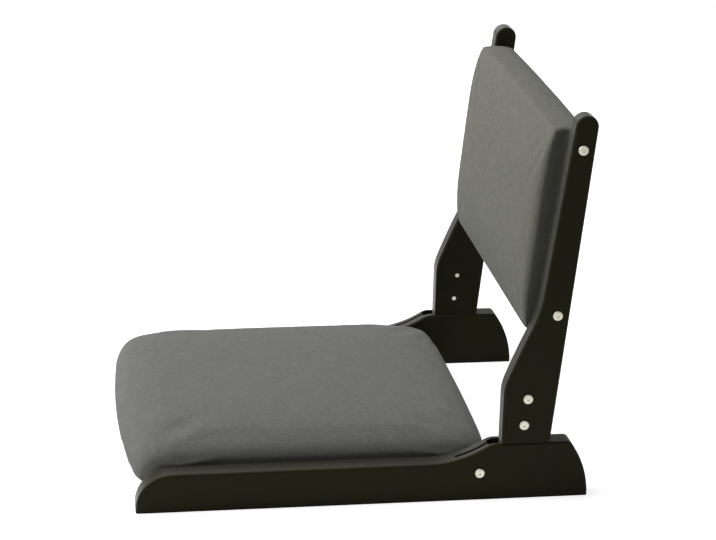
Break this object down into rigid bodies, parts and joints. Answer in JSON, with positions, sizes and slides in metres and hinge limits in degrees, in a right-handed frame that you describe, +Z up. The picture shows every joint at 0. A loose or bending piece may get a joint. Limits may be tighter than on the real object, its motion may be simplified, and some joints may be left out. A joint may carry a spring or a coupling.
{
  "type": "folding floor chair",
  "caption": "Legless floor chair with black wooden side rails, a low padded grey seat and a padded back between two posts that folds forward on steel hinge plates.",
  "frame": {"origin": "on the floor, at the centre of the chair's footprint with the seat cushion's overhang", "axes": "+X to the sitter's left along the hinge axis, -Y to the front of the seat, +Y to the back, +Z up"},
  "size_m": [0.4356, 0.5044, 0.4302],
  "materials": {
    "lacquered_wood": "black satin lacquer, softly rounded edges",
    "plain_wood": "planed softwood, unfinished",
    "dowel_wood": "fluted beech dowel",
    "plywood": "plywood, unfinished",
    "foam": "open-cell cushion foam",
    "grey_fabric": "plain-woven upholstery cloth, mid grey",
    "black_cloth": "thin black lining cloth",
    "plate_steel": "zinc-plated flat steel",
    "nickel_bolts": "nickel-plated button heads",
    "insert_steel": "zinc-plated steel",
    "washer_plastic": "nylon",
    "bush_brass": "plain brass",
    "screw_steel": "zinc-plated steel"
  },
  "bodies": {
    "base": {"base_rail_left": "lacquered_wood", "base_rail_right": "lacquered_wood", "cross_rail_dowels": "dowel_wood", "front_cross_rail": "plain_wood", "pivot_bolt_left": "nickel_bolts", "pivot_bolt_right": "nickel_bolts", "pivot_bush_left": "bush_brass", "pivot_bush_right": "bush_brass", "pivot_insert_left": "insert_steel", "pivot_insert_right": "insert_steel", "pivot_washers_left": "washer_plastic", "pivot_washers_right": "washer_plastic", "rear_cross_rail": "plain_wood", "seat_board": "plywood", "seat_board_screws": "screw_steel", "seat_cover": "grey_fabric", "seat_dust_cover": "black_cloth", "seat_foam": "foam"},
    "backrest": {"back_board": "plywood", "back_board_screws": "screw_steel", "back_bolts_left": "nickel_bolts", "back_bolts_right": "nickel_bolts", "back_cover": "grey_fabric", "back_crosspiece_bottom": "plain_wood", "back_crosspiece_top": "plain_wood", "back_foam": "foam", "back_frame_dowels": "dowel_wood", "back_inserts_left": "insert_steel", "back_inserts_right": "insert_steel", "back_rear_cover": "grey_fabric", "back_stile_left": "plain_wood", "back_stile_right": "plain_wood", "hinge_bolts_left": "nickel_bolts", "hinge_bolts_right": "nickel_bolts", "hinge_plate_left": "plate_steel", "hinge_plate_right": "plate_steel", "post_left": "lacquered_wood", "post_right": "lacquered_wood"}
  },
  "joints": [
    {"name": "backrest_fold", "type": "hinge", "parent": "base", "child": "backrest", "pos_m": [0, 0.13085, 0.0316], "axis": [1, 0, 0], "range_deg": [0, 89]}
  ]
}
